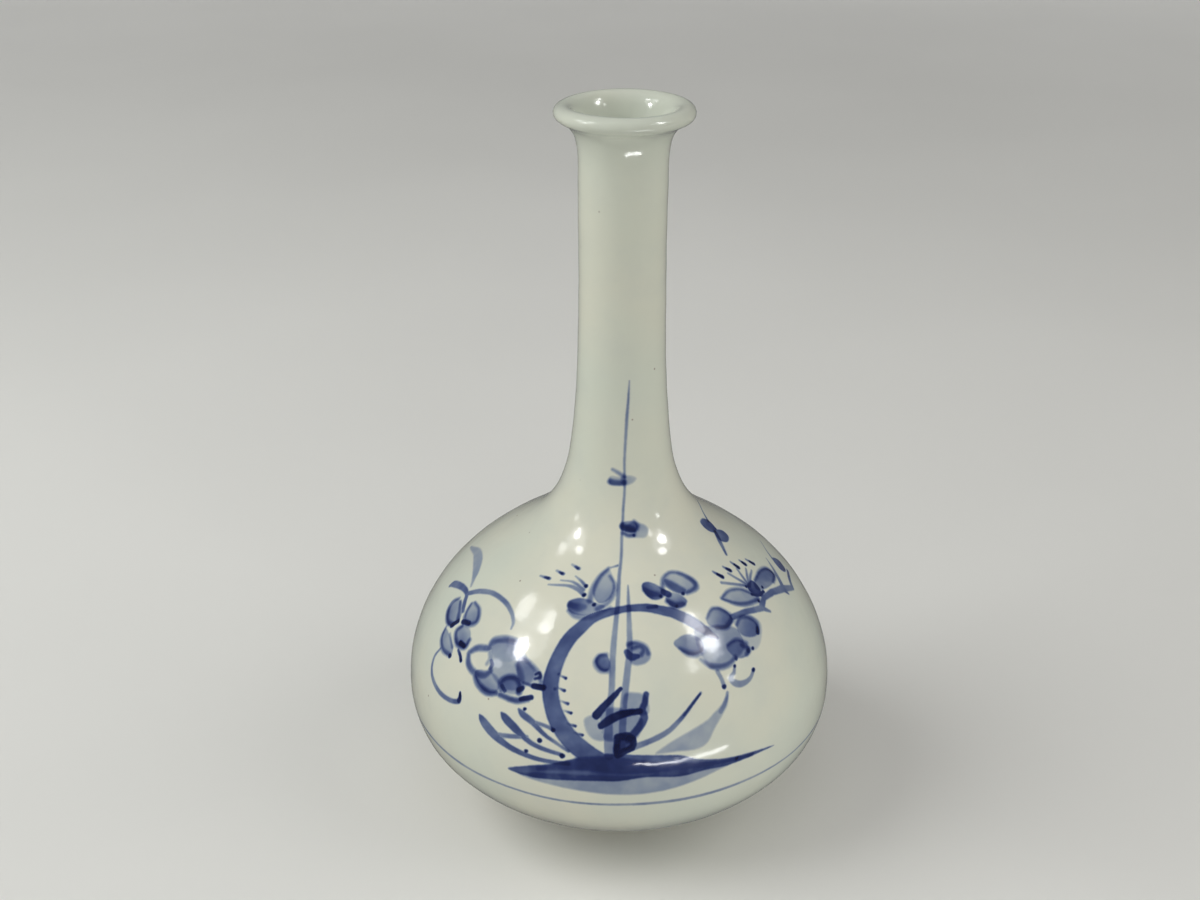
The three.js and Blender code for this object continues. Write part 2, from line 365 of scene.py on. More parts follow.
def paint_branch():
    """The branch that comes in from the right, with its side blossom, and a small flying insect above."""
    strokes(
        LINE,
        (0.62, (44.3, 91.6, 2.2), (50.8, 91.1, 2.2)),
        (0.64, (50.8, 91.1, 2.2), (58.6, 89.4, 2.4)),
        (0.66, (58.6, 89.4, 2.6), (63.6, 90.7, 2.1)),
        (0.64, (59.1, 89.2, 2.2), (61.3, 87.3, 1.1)),
        (0.66, (63.6, 90.6, 2.2), (69.7, 89.8, 2.6)),
        (0.66, (69.7, 89.8, 2.6), (77.2, 87.4, 3)),
        (0.66, (77.2, 87.4, 3), (83.8, 84, 2.2)),
        (0.66, (76.9, 87.2, 2.2), (77.9, 85.2, 1.2)),
        ((0.66, 0.5), (77.8, 87.5, 2.6), (82.5, 90.7, 1.8), (87.4, 93.6, 0.6)),
        (0.66, (83.8, 84, 2), (87.3, 85.2, 1.9), (92.9, 85.4, 1.4)),
    )
    fill(LINE, 0.74, (91.2, 91.6), (94.6, 89), (92.2, 86.5), (88.9, 87.2), (87.8, 89.4))
    stroke(LINE, (0.62, 0.4), (90.9, 91.4, 1.3), (94.9, 93, 0.8), (101.5, 93.9, 0.5))
    # The blossom on the branch: two petals, a dark heart and long stamens.
    fills(
        BAND,
        ((0.34, 0.62, 70), (67, 94.8), (74.9, 94.8), (80.2, 93.3), (80.4, 90.8), (75.3, 90.5), (68, 91.6),
         (64.2, 92.8), (64.1, 93.9)),
        ((0.24, 0.4, 150), (44.8, 96.3), (50.5, 96.9), (56.3, 95.8), (59.8, 93.3), (61.6, 91.1), (56.3, 91.8),
         (50.8, 93.2), (47, 94.8)),
    )
    strokes(
        SOFT,
        (0.5, (67, 94.8, 1), (74.9, 94.8, 1.4), (80.2, 93.2, 1.9), (80.2, 90.9, 1.6), (75.3, 90.5, 1.3)),
        (0.5, (44.8, 96.3, 0.9), (50.5, 96.9, 1.1), (56.3, 95.8, 1.4), (59.6, 93.8, 1.7)),
        (0.55, (44.8, 96.2, 0.9), (49.8, 93.5, 1.5), (55, 92, 1.8), (60, 91.3, 1.8)),
    )
    fill(DARK, 0.72, (60.7, 95.3), (65.4, 95.3), (65.8, 93.2), (64, 91.8), (60.8, 92.8), (59.9, 94.2))
    stroke(DARK, 0.8, (59.6, 93.2, 1.2), (62.4, 92, 1.6), (66, 91.6, 1.2))
    for az, h in ((60, 93), (61.8, 92.2), (60, 91), (60, 95.2), (63, 91.6), (67.4, 92.4)):
        dot(az, h, 1.0)
    for end in ((50.2, 99, 1.2), (57.4, 99.7, 1), (64.1, 99.2, 0.8), (68.8, 97.7, 0.8), (70.8, 96.5, 0.8)):
        stroke(LINE, (0.45, 0.75), end, ((end[0] + 61.5) / 2, (end[1] + 95.3) / 2, 1.2), (61.8, 94.9, 1.4))
    for a, b in (
        ((50.6, 101.7), (52.9, 99.9)), ((58.1, 101.3), (59.8, 99.9)), ((64.8, 100.9), (65.6, 99.1)),
        ((70.5, 99.7), (71, 98.3)), ((74.6, 98.6), (75.8, 96.7)),
    ):
        stroke(LINE, (0.5, 0.8), (a[0], a[1], 1), (b[0], b[1], 1.6))
        stroke(DARK, 0.85, ((a[0] + b[0]) / 2, (a[1] + b[1]) / 2, 1.1), (b[0], b[1], 1.3))
    # The insect: two wings, a body and a feeler.
    fills(
        DARK,
        ((0.55, 0.72, 180), (74.1, 111.2), (80.6, 110.9), (84.6, 109), (83, 107.2), (80.6, 106.4),
         (75.5, 107.2), (72.8, 109.2)),
        ((0.5, 0.72, 180), (81.1, 106.7), (85, 105.1), (83.3, 103.6), (77.6, 103.5), (73.9, 104.7),
         (74.2, 106), (76.4, 106.9)),
    )
    stroke(DARK, 0.85, (84, 109.2, 0.8), (79.6, 107.4, 1.6), (76.6, 106.2, 1.8))
    strokes(
        LINE,
        ((0.8, 0.62), (77.8, 106.7, 1.8), (72.3, 104.9, 2), (67, 102.5, 1)),
        (0.55, (103.4, 112.2, 0.5), (91.3, 111.3, 0.8), (83.4, 109.2, 1.2)),
    )


def paint_right_blossom():
    """The full blossom where the moon meets the branch, and the curl under it."""
    fills(
        WASH,
        (0.36, (27, 91.6), (33.6, 91.8), (40, 90.4), (44, 88), (43, 84), (37.6, 82), (32, 81.4), (27.6, 83)),
        (0.2, (44, 91), (50.4, 90.4), (54, 87), (50.4, 83.4), (46, 81.8), (43, 84)),
    )
    fills(
        BAND,
        ((0.3, 0.62, 150), (33.4, 92.4), (34.6, 94.2), (38, 95.2), (41.6, 94.6), (43.9, 92.4), (43, 90.6),
         (39.6, 89.9), (36, 90.6)),
        ((0.2, 0.5, 130), (43.6, 89.2), (46, 90.6), (50, 90), (52.1, 87.6), (51.4, 85.4), (48.4, 84.9),
         (45, 86), (43.4, 87.6)),
        ((0.24, 0.5, 150), (36.2, 85.6), (38.6, 86.6), (42, 86), (44, 84), (43.6, 82), (40.6, 81.4),
         (37.6, 82.6)),
        ((0.34, 0.64, 190), (18.6, 89.9), (22, 91.3), (25.6, 91.2), (28.4, 89.4), (28, 87), (24.8, 86.2),
         (21.6, 87.2)),
    )
    strokes(
        SOFT,
        (0.4, (34, 93.6, 0.9), (38, 95.1, 1.1), (41.6, 94.4, 1.3), (43.9, 92.4, 1.5)),
        (0.5, (43, 91, 1.7), (39.6, 90.1, 1.7), (36, 90.8, 1.2)),
        (0.46, (44, 89.6, 0.9), (47.4, 90.6, 1.1), (51, 89.4, 1.6), (52.3, 87.4, 1.7), (50.8, 85.4, 1.5)),
        (0.45, (37, 86, 0.9), (41, 86.4, 1.2), (44, 84.4, 1.4)),
        (0.5, (20.4, 88.4, 1), (22.4, 87, 1.9), (25.4, 86.2, 2.1), (28, 86.8, 1.2)),
        (0.52, (26.2, 84.8, 1.1), (28.6, 82.6, 1.8), (31.8, 81.4, 2), (35.2, 81.4, 1.8), (38, 82.6, 1.2)),
        (0.6, (42, 84.6, 1.4), (43.6, 82.8, 2), (42.2, 81.9, 1.4)),
    )
    dot(43.4, 82.6, 1.5, 0.7)
    stroke(DARK, 0.85, (51.4, 86.4, 0.9), (50.4, 85.3, 1.5))
    dot(45.4, 82.5, 1.1)
    dot(38, 82, 1.2, 0.7)
    stroke(LINE, (0.4, 0.55), (30.2, 80.6, 1.6), (30.8, 78.4, 1.5), (31, 76.2, 1.6))
    dot(31, 76.1, 1.6, 0.85)
    stroke(LINE, 0.55, (36.4, 80.4, 0.9), (35.4, 78.8, 1.4))
    dot(36.5, 80.4, 1)
    stroke(
        LINE, 0.5, (35, 78.6, 1.4), (33.7, 77.6, 1.8), (34.8, 76, 2.4), (36.9, 75.1, 2.2), (40, 75.5, 1.5),
        (42.3, 77.3, 1.2),
    )
    dot(42.3, 77.3, 1.4, 0.85)


def paint_ground():
    """The ground stroke under the plants, with a wash below it, the dark leaf knot and the long leaves."""
    fill(
        BAND, 0.62, (-28.4, 48.8), (-22.6, 52.4), (-17, 54.8), (-12, 57.5), (-6, 60.2), (0, 60.6), (5, 60.2),
        (10, 59.7), (16, 58.6), (20, 56.4), (24, 55), (28, 53.8), (34, 52.8), (38.5, 52), (43.7, 50.6),
        (38.5, 50.9), (34, 51), (28, 51), (22, 51.6), (15.5, 51.1), (7.3, 52.2), (0, 51), (-5, 50.8),
        (-11.4, 50), (-17, 49), (-22.6, 48.2),
    )
    strokes(
        SOFT,
        ((0.4, 0.6), (-20, 52.2, 1.2), (-13, 55, 3), (-7, 56.8, 5), (0, 56.6, 6), (7, 55.8, 4.6),
         (14, 54.8, 3.2), (21, 53.8, 2.4), (29, 52.6, 1.6), (36, 51.6, 1.2)),
        ((0.5, 0.6), (-10, 57.6, 2), (-4, 58, 3.4), (3, 57.4, 3), (9, 56.4, 1.8)),
    )
    dot(31.2, 52.4, 1.2, 0.9)
    fills(
        WASH,
        (0.34, (-25, 47.9), (-15, 46.8), (-7.8, 46.2), (-2, 45.7), (4, 45.6), (9, 46), (14, 46.8), (20, 48.4),
         (25, 50), (29, 51.4), (16, 53), (0, 53), (-14, 52), (-23, 49.4)),
        (0.32, (9.5, 60.2), (15, 60.1), (20, 59.7), (23.2, 61), (25.7, 65), (28.5, 68.4), (30.6, 70.9),
         (31.4, 73.6), (28.6, 71.3), (26, 69.6), (23.6, 68), (20.2, 66.6), (16, 64.8), (12.4, 62.8)),
    )
    strokes(
        LINE,
        ((0.3, 0.48), (28.2, 69.6, 1.6), (30, 71.6, 1.5), (31.5, 74.2, 1.1)),
        ((0.6, 0.7), (4, 62.8, 2.2), (7.5, 64.2, 2), (10.8, 65.7, 2), (13.5, 67.3, 1.8), (16, 69.5, 1.6),
         (18.7, 72, 1.3), (21.3, 74.5, 1), (23.5, 76.3, 0.8)),
    )
    stroke(DARK, (0.4, 0.75), (17.6, 71, 0.6), (20.6, 73.8, 0.8), (23.2, 76, 0.7))
    # The knot of dark leaves.
    strokes(
        DARK,
        (0.95, (0.6, 79.8, 1.2), (-1.3, 77.7, 1.9), (-3.9, 74.9, 2.3), (-5.8, 72.3, 2.8)),
        (0.98, (-4.4, 69.3, 2.2), (-2.1, 71.2, 2.8), (0.5, 72.6, 2.6), (3.2, 73.3, 2.2), (5.9, 73.5, 2)),
        (0.88, (-0.2, 66, 2), (2.5, 66.2, 2.8), (3.8, 64.8, 2.4), (3.5, 62.8, 2.2), (1.8, 61.6, 2.3),
         (0, 60.4, 2.6)),
        (0.88, (0.2, 66, 1.8), (-0.2, 63.4, 2), (-0.2, 61, 2.4)),
    )
    stroke(
        LINE, 0.85, (7.8, 78.1, 1.9), (7.3, 75.9, 2), (6.5, 73.9, 2.3), (6.9, 71.7, 2.6), (5.7, 69.2, 2.6),
        (4, 67, 2.4), (2.4, 65.1, 2.4),
    )
    fill(BAND, 0.66, (-0.9, 66.3), (1.8, 67), (4.5, 65.8), (3.7, 63.2), (1.3, 61.1), (-0.9, 60.1))
    fills(
        WASH,
        (0.34, (1.9, 78.4), (6.8, 78.3), (8.2, 76), (8.2, 73), (5, 72), (1.6, 73.6)),
        (0.42, (-4.4, 73.6), (0, 74.6), (6, 72), (5.6, 67), (3.4, 65), (-3.4, 65), (-4.6, 69)),
        (0.32, (-8.9, 71), (-6, 72), (-3.6, 68), (-3.6, 64.8), (-6.2, 65), (-8.2, 67.4)),
    )


def paint_left_spray():
    """The hanging spray at the far left."""
    stroke(
        WASH, 0.32, (-98, 91.5, 1), (-89, 94.4, 3.4), (-81, 94.8, 4.6), (-75, 93.8, 3.6), (-71.5, 92.4, 2),
        (-69, 91, 1),
    )
    strokes(
        LINE,
        (0.66, (-81, 85, 1.4), (-79.5, 86.6, 2.8), (-73.6, 88.7, 2.6), (-68, 89.2, 2), (-65.2, 87.4, 2),
         (-62.6, 85.6, 1.4)),
        ((0.62, 0.45), (-67.5, 89.2, 1.9), (-62.7, 92, 2.1), (-56, 93.8, 1.9), (-48.2, 93.9, 1.8),
         (-42.8, 92.7, 1.6), (-39.6, 90.9, 1.3), (-39, 89.2, 0.8)),
    )
    # Three hanging buds and, below them, a drop.
    fills(
        BAND,
        ((0.22, 0.48, 210), (-70, 86.2), (-70.6, 83.4), (-69, 81), (-64.6, 79.9), (-61.4, 82.4),
         (-62.6, 85.2), (-66, 86.8)),
        ((0.22, 0.46, 160), (-61.4, 89.4), (-56.6, 89.2), (-53.6, 86.4), (-57, 84), (-60.8, 85.6)),
        ((0.26, 0.52, 190), (-58.4, 83), (-59.6, 80.4), (-56.8, 78), (-52.4, 78.8), (-52, 81.6),
         (-54.4, 83.6)),
        ((0.3, 0.5, 200), (-65.2, 78.6), (-64.6, 75.6), (-61.4, 73.4), (-57, 73.6), (-56.6, 76), (-60.4, 78)),
    )
    strokes(
        SOFT,
        (0.55, (-69.4, 86.8, 1), (-71.2, 84.6, 1.6), (-70, 82, 2), (-66.4, 80.2, 2), (-62.8, 80.9, 1.7)),
        (0.5, (-67.6, 86.6, 0.9), (-64.6, 85, 1.5), (-62.2, 83, 1.7)),
        (0.5, (-60.4, 89.4, 0.9), (-56, 88.9, 1.5), (-53.6, 86.4, 1.8), (-55.6, 84.4, 1.8),
         (-58.6, 84.2, 1.6)),
        (0.5, (-61.6, 88.6, 1), (-61.2, 86.6, 1.3), (-60.2, 84.8, 1.4)),
        (0.55, (-58.4, 83, 1.3), (-59.6, 80.4, 1.7), (-56.4, 78.1, 1.9), (-52.4, 78.8, 1.8),
         (-51.9, 81.4, 1.3)),
        (0.5, (-65.4, 79, 0.9), (-64.6, 75.4, 1.5), (-61, 73.4, 1.8), (-57, 73.9, 1.7)),
        (0.45, (-57.4, 76.4, 1.2), (-61.6, 78.6, 0.8)),
    )
    strokes(
        DARK,
        (0.8, (-63.2, 80.6, 1.8), (-61.6, 82.8, 1.7)),
        (0.8, (-59.4, 83.8, 1.9), (-56.4, 84.6, 1.8)),
        (0.92, (-55, 79, 1.9), (-53, 79, 1.8)),
    )
    dot(-56.6, 73.8, 1.7)
    strokes(
        DARK,
        ((0.6, 0.95), (-54.3, 76.9, 1.1), (-52.6, 76.1, 1.4), (-51.4, 75, 1.3)),
        ((0.9, 0.7), (-47.2, 66.4, 1.1), (-46.8, 65, 1.5), (-47, 63.8, 1.6)),
    )
    stroke(
        LINE, (0.5, 0.65), (-62.3, 73.1, 0.9), (-63.4, 69.5, 1.3), (-62.5, 65.7, 1.6), (-60, 63.1, 1.9),
        (-55.4, 61.6, 1.9), (-50.5, 62, 1.8), (-47, 63.6, 1.8), (-46.9, 65.6, 1.4),
    )


def paint_left_blossom():
    """The full blossom left of the moon."""
    # The top petal and the left petal, open in the middle.
    fill(
        BAND, (0.34, 0.04, 180), (-43.2, 84.6), (-39, 86.6), (-34.6, 87), (-32.6, 84.6), (-34, 81.6),
        (-38.4, 80.8), (-42, 82),
    )
    strokes(
        SOFT,
        (0.55, (-43.4, 82.4, 1.6), (-43, 84.8, 2.3), (-39, 86.5, 2.3), (-35.2, 87, 1.8)),
        (0.55, (-49.6, 78.6, 1.8), (-47.4, 80.8, 2.4), (-43.2, 82.4, 2.2)),
        (0.55, (-49.6, 78, 1.8), (-48, 75.6, 2.4), (-44.6, 74.4, 2.4), (-41, 75.2, 2), (-39.4, 77.2, 1.6)),
        (0.4, (-42.4, 81.6, 1.4), (-41.4, 80, 1.3), (-41.6, 78.4, 1.2)),
    )
    fill(
        WASH, 0.3, (-42.4, 84.6), (-38.6, 86), (-33.4, 86.2), (-29.6, 84.4), (-25, 80.6), (-27.4, 76),
        (-33, 74), (-39, 76.6), (-41, 80),
    )
    # The lower left petal.
    fill(
        BAND, (0.22, 0.5, 200), (-44.6, 75), (-42.6, 72.4), (-38.8, 71), (-35.4, 72), (-34.8, 75),
        (-37.4, 76.8), (-41.4, 76.6),
    )
    stroke(SOFT, 0.6, (-45, 74.8, 1.8), (-42.4, 72.2, 2.4), (-38.4, 71, 2.3), (-35, 72, 1.6))
    # The dark petal in the middle, and the stroke under it.
    fill(
        BAND, (0.4, 0.24, 120), (-34.6, 74), (-34.7, 76), (-33.2, 77.7), (-30, 78.2), (-28.4, 76.7),
        (-28.3, 74.4), (-31, 73.2),
    )
    strokes(
        SOFT,
        ((0.5, 0.66), (-34, 73.2, 1.8), (-34.9, 75.5, 1.9), (-33.2, 77.5, 1.7), (-30.4, 78, 1.9),
         (-28.6, 76.6, 2.2), (-28.4, 74.6, 2.2)),
        (0.44, (-31.4, 81.4, 1.6), (-29.4, 79.4, 2), (-28.2, 77, 1.8)),
    )
    # The right petal.
    fill(
        BAND, (0.36, 0.14, 80), (-31.8, 83.4), (-28.2, 83), (-24, 81), (-22.4, 78.6), (-25, 77.2),
        (-29, 77.6), (-31, 80),
    )
    strokes(
        SOFT,
        (0.42, (-31.6, 83.8, 1), (-27.6, 83, 1.3), (-23.8, 81, 1.5), (-22.6, 79, 1.5)),
        ((0.6, 0.7), (-34, 72, 1.8), (-28.8, 72, 2), (-25.4, 73.4, 1.8)),
    )
    strokes(
        DARK,
        (0.85, (-27.4, 72.9, 1.4), (-24.4, 74.2, 1.7)),
        (0.8, (-28.6, 75.2, 1.8), (-27.6, 76, 1.5)),
        (0.9, (-24.4, 77.4, 1.9), (-21.6, 77.7, 2.1)),
        (0.7, (-24.6, 79.4, 0.9), (-23.2, 80.2, 1.0), (-23.8, 81.2, 0.9), (-24.8, 80.6, 0.8)),
        (0.45, (-40.6, 79.8, 1.1), (-39.6, 78.8, 1.4), (-40, 77.6, 1.1)),
        (0.55, (-34, 74.6, 1.3), (-32.8, 73.6, 1.4)),
    )
    stroke(LINE, (0.4, 0.65), (-27.8, 77.6, 0.7), (-25, 77.3, 1.2))


def paint_left_grass():
    strokes(
        LINE,
        ((0.7, 0.66), (-38.6, 63.2, 1), (-37, 61.8, 3.2), (-33.6, 59.5, 3.5), (-29.4, 57.4, 2.4),
         (-24.8, 56.2, 2), (-19.6, 55.6, 1.6), (-12.2, 56, 1.4)),
        ((0.6, 0.5), (-32.3, 59.6, 1.6), (-27.3, 61, 1.6), (-23.7, 62.2, 1.2)),
        ((0.7, 0.66), (-32, 66.9, 0.9), (-30.6, 65.8, 2.9), (-27.6, 63.9, 3), (-24.9, 62.1, 2.2),
         (-22.3, 60.5, 1.8), (-18.7, 59.5, 1.6), (-14.2, 58.8, 1.3)),
        ((0.66, 0.64), (-27.2, 69.8, 0.9), (-25.8, 68.7, 2.3), (-22.7, 67.2, 2.2), (-19.1, 64.3, 1.5),
         (-15.5, 62.2, 1.2), (-12.4, 60.2, 0.9)),
        ((0.55, 0.6), (-22.8, 67.4, 1.3), (-19, 67, 1.3), (-16.8, 66.2, 1.2)),
    )
    dot(-25.5, 70.4, 1.1)
    for az, h, size in ((-16.8, 66.2, 1.4), (-20.1, 62, 1.7), (-13.8, 58.4, 1.8), (-23.4, 57.4, 1.3)):
        dot(az, h, size, 0.85)


def paint_back():
    """The unseen side: the branch's far end, one more blossom and a few blades of grass."""
    for az, h, tilt in ((131, 84, 20), (139, 88, 80), (146, 83, 150), (140, 78, 215), (132, 77.5, 290)):
        petal(az, h, 7, 8.6, tilt, 0.48, 0.7, 1.1)
    for az, h in ((137.5, 83.6), (139.4, 82.2), (138, 81.4)):
        dot(az, h, 1.2)
    stroke(LINE, (0.6, 0.45), (150, 84, 1.5), (158, 88, 1.3), (167, 90, 1.1), (176, 89.4, 0.8))
    for lean, top in ((-9, 70), (-2, 76), (6, 72), (13, 66)):
        stroke(
            LINE, (0.7, 0.5), (200, 53, 2.2), (200 + lean * 0.6, 53 + (top - 53) * 0.6, 1.7),
            (200 + lean * 1.6, top, 0.7),
        )
    fill(
        BAND, 0.66, (178, 50.4), (188, 53.6), (198, 55), (210, 54.4), (222, 51), (210, 50), (196, 49.6),
        (186, 49.4),
    )
    fill(WASH, 0.4, (184, 48.4), (196, 46.6), (208, 46.8), (216, 49), (206, 51), (192, 50.6))


for paint in (
    paint_moon, paint_stems, paint_upper_blossoms, paint_branch, paint_right_blossom, paint_ground,
    paint_left_spray, paint_left_blossom, paint_left_grass, paint_back,
):
    paint()

LINE_HEIGHT = 41.0
LINE_WIDTH = 1.05
LINE_TONE = 0.46
FAR = 3.2
LARGEST_TABLE = 3_000_000


def fill_distance(places, gap, mark_az, mark_s, shade):
    """Distance to a filled shape's edge, negative inside, and its tone. places are (degrees, length)."""
    x, y = places
    next_az, next_s = np.roll(mark_az, -1), np.roll(mark_s, -1)
    crosses = (mark_s[None] > y[:, None]) != (next_s[None] > y[:, None])
    rise = np.where(np.abs(next_s - mark_s) < 1e-9, 1e-9, next_s - mark_s)
    cut = mark_az + (y[:, None] - mark_s[None]) * (next_az - mark_az) / rise
    inside = (crosses & (x[:, None] < cut)).sum(axis=1) % 2 == 1
    d = gap.min(axis=1)
    start, end, toward = shade
    radius = outline_at(mark_s.mean())[0]
    middle = (mark_az.min() + mark_az.max()) / 2

    def down(turn, length):
        return np.radians(turn) * radius * math.sin(toward) + length * math.cos(toward)

    own = down(mark_az - middle, mark_s)
    share = np.clip((down(x - middle, y) - own.min()) / max(np.ptp(own), 0.01), 0, 1)
    return np.where(inside, -d, d), start + (end - start) * share


def stroke_distance(gap, t, half, tones):
    """Distance to a stroke's edge, negative inside, and the tone at its nearest place."""
    gap = gap - (half[:-1] * (1 - t) + half[1:] * t)
    nearest = gap.argmin(axis=1)
    row = np.arange(len(gap))
    share = t[row, nearest]
    return gap[row, nearest], tones[nearest] * (1 - share) + tones[nearest + 1] * share


def paint_at(az, s):
    """For each place on the skin, two dictionaries by layer.

    They are the distance to the nearest mark's edge, negative inside it, and that mark's tone.
    """
    points = on_skin(az, s)
    distance = {layer: np.full(len(az), FAR) for layer in LAYERS}
    tone = {layer: np.zeros(len(az)) for layer in LAYERS}
    for layer, shade, mark_az, mark_s, mark_points, half, tones in marks:
        filled = shade is not None
        middle = (mark_az.min() + mark_az.max()) / 2
        turn = (az - middle + 180) % 360 - 180
        least = max(outline_at(mark_s)[:, 0].min(), 5.0)
        reach = FAR + (0 if filled else half.max())
        near = np.abs(turn) < (mark_az.max() - mark_az.min()) / 2 + math.degrees(reach / least)
        near &= (s > mark_s.min() - reach) & (s < mark_s.max() + reach)
        which = np.nonzero(near)[0]
        if not len(which):
            continue
        a = mark_points if filled else mark_points[:-1]
        b = np.roll(mark_points, -1, axis=0) if filled else mark_points[1:]
        span = b - a
        length2 = np.maximum((span**2).sum(axis=1), 1e-9)
        for part in np.array_split(which, max(1, len(which) * len(a) // LARGEST_TABLE)):
            to = points[part][:, None, :] - a[None]
            t = np.clip((to * span[None]).sum(axis=2) / length2, 0, 1)
            gap = np.linalg.norm(to - t[..., None] * span[None], axis=2)
            if filled:
                d, mark_tone = fill_distance((turn[part] + middle, s[part]), gap, mark_az, mark_s, shade)
            else:
                d, mark_tone = stroke_distance(gap, t, half, tones)
            closer = d < distance[layer][part]
            distance[layer][part] = np.where(closer, d, distance[layer][part])
            tone[layer][part] = np.where(closer, mark_tone, tone[layer][part])
    # The thin line round the lower belly wavers a little.
    turn = np.radians(az)
    height = LINE_HEIGHT + 0.5 * np.sin(turn + 0.6) + 0.18 * np.sin(3 * turn) + 0.08 * np.sin(11 * turn + 1)
    d = np.abs(s - place_outside(height)) - LINE_WIDTH / 2 * (1 + 0.2 * np.sin(5 * turn))
    closer = d < distance[LINE]
    distance[LINE] = np.where(closer, d, distance[LINE])
    tone[LINE] = np.where(closer, LINE_TONE, tone[LINE])
    return distance, tone


# ---------------------------------------------------------------- meshes
def finish_mesh(name, mesh, replaced):
    obj = bpy.data.objects.new(name, mesh)
    bpy.context.scene.collection.objects.link(obj)
    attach(obj, BODY)
    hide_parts(replaced)
    return obj


def turn_mesh(name, section, columns, closed):
    """A section, in metres, turned round the axis. A point on the axis becomes a pole."""
    verts, faces, starts = [], [], []
    poles = [r < 1e-9 for r, _ in section]
    for (r, h), pole in zip(section, poles):
        starts.append(len(verts))
        if pole:
            verts.append((0, 0, h))
            continue
        for c in range(columns):
            a = 2 * math.pi * c / columns
            verts.append((r * math.sin(a), -r * math.cos(a), h))
    count = len(section)
    for k in range(count if closed else count - 1):
        m = (k + 1) % count
        if poles[k] and poles[m]:
            continue
        for c in range(columns):
            d = (c + 1) % columns
            if poles[k]:
                faces.append((starts[k], starts[m] + d, starts[m] + c))
            elif poles[m]:
                faces.append((starts[k] + c, starts[k] + d, starts[m]))
            else:
                faces.append((starts[k] + c, starts[k] + d, starts[m] + d, starts[m] + c))
    mesh = bpy.data.meshes.new(name)
    mesh.from_pydata(verts, [], faces)
    mesh.shade_smooth()
    return mesh


def lathe(name, section, replaced, columns=128, crease=35):
    """A piece with a closed section, given in millimetres. crease is in degrees."""
    mesh = turn_mesh(name, [(r * MM, h * MM) for r, h in section], columns, closed=True)
    mesh.set_sharp_from_angle(angle=math.radians(crease))
    return finish_mesh(name, mesh, replaced)


def ring_section(outer, inner):
    """outer runs up the outside, inner runs up the inside: a closed section, the outside first."""
    return [*outer, *inner[::-1]]


LIP_SWELL = 0.24
LIP_SWELL_FROM, LIP_SWELL_TO = 246.0, 252.0


def lip_share(s):
    """1 on the outside of the lip, 0 elsewhere."""
    low, high = place_outside(LIP_SWELL_FROM), place_outside(LIP_SWELL_TO)
    top = glass_s[top_index]
    return np.clip((s - low) / (high - low), 0, 1) * np.clip((top + 2 - s) / 3, 0, 1)


NECK_DIP = 0.22
NECK_DIP_AT = 262
NECK_DIP_LENGTH = 26
FADE_LOW, FADE_HIGH = 15, 12


def thrown(az, s):
    """The skin of a pot turned by hand: faint throwing lines, and not quite round."""
    turn = np.radians(az)
    neck = np.exp(-(((s - NECK_DIP_AT) / NECK_DIP_LENGTH) ** 2))
    wobble = 0.10 * np.cos(2 * turn + 0.7) + 0.05 * np.cos(3 * turn + 2.1)
    rings = 0.035 * np.sin(s / 2.1 + 0.35 * np.sin(turn)) + 0.05 * np.sin(s / 6.7 + 0.8 * np.cos(turn + 1))
    dip = NECK_DIP * neck * (1 + 0.5 * np.sin(turn))
    return wobble + rings - dip + LIP_SWELL * lip_share(s) * (1 + np.sin(turn))


def skin_point(az, s):
    return turned(az, outline_at(s) + outward_at(s) * thrown(az, s)[..., None] * fade(s)[..., None])


def fade(s):
    """Nothing of the unevenness at the two ends of the skin, where it meets its neighbours."""
    return np.clip(s / FADE_LOW, 0, 1) * np.clip((THROAT - s) / FADE_HIGH, 0, 1)


def skin_normal(az, s):
    """Across the skin's slope, measured over a small step each way, in degrees and millimetres."""
    da, ds = 0.4, 0.25
    across = skin_point(az + da, s) - skin_point(az - da, s)
    up = skin_point(az, s + ds) - skin_point(az, s - ds)
    n = np.cross(across, up)
    return n / np.linalg.norm(n, axis=-1, keepdims=True)


COLUMNS = 160
SPLIT = 8
SPLIT_MARGIN = 0.15
SPLIT_OVER = 0.55
ROW = 3.0
LIP_ROW = 0.9
LIP_ROWS_FROM = 246.0
UNDER_ROW = 5.0
BEVEL_RUN = 0.28
BEVEL_FALL = -0.4
foot_top = tuple(stretch(0, THROAT, UNDER_ROW, GLAZE)[0])


def foot_wall(height):
    """The foot ring's outside at a height: it leans in a little towards the floor."""
    return (foot_top[0] - FOOT_TAPER * (FOOT_HEIGHT - height) / FOOT_HEIGHT, height)


def skin_rows():
    """Lengths of the coarse rows: close together round the lip, about ROW apart elsewhere."""
    lip_start = float(place_outside(LIP_ROWS_FROM))
    rows = list(np.linspace(0, lip_start, int(lip_start / ROW) + 1))
    rows += list(np.linspace(lip_start, THROAT, int((THROAT - lip_start) / LIP_ROW) + 1)[1:])
    return np.array(rows)


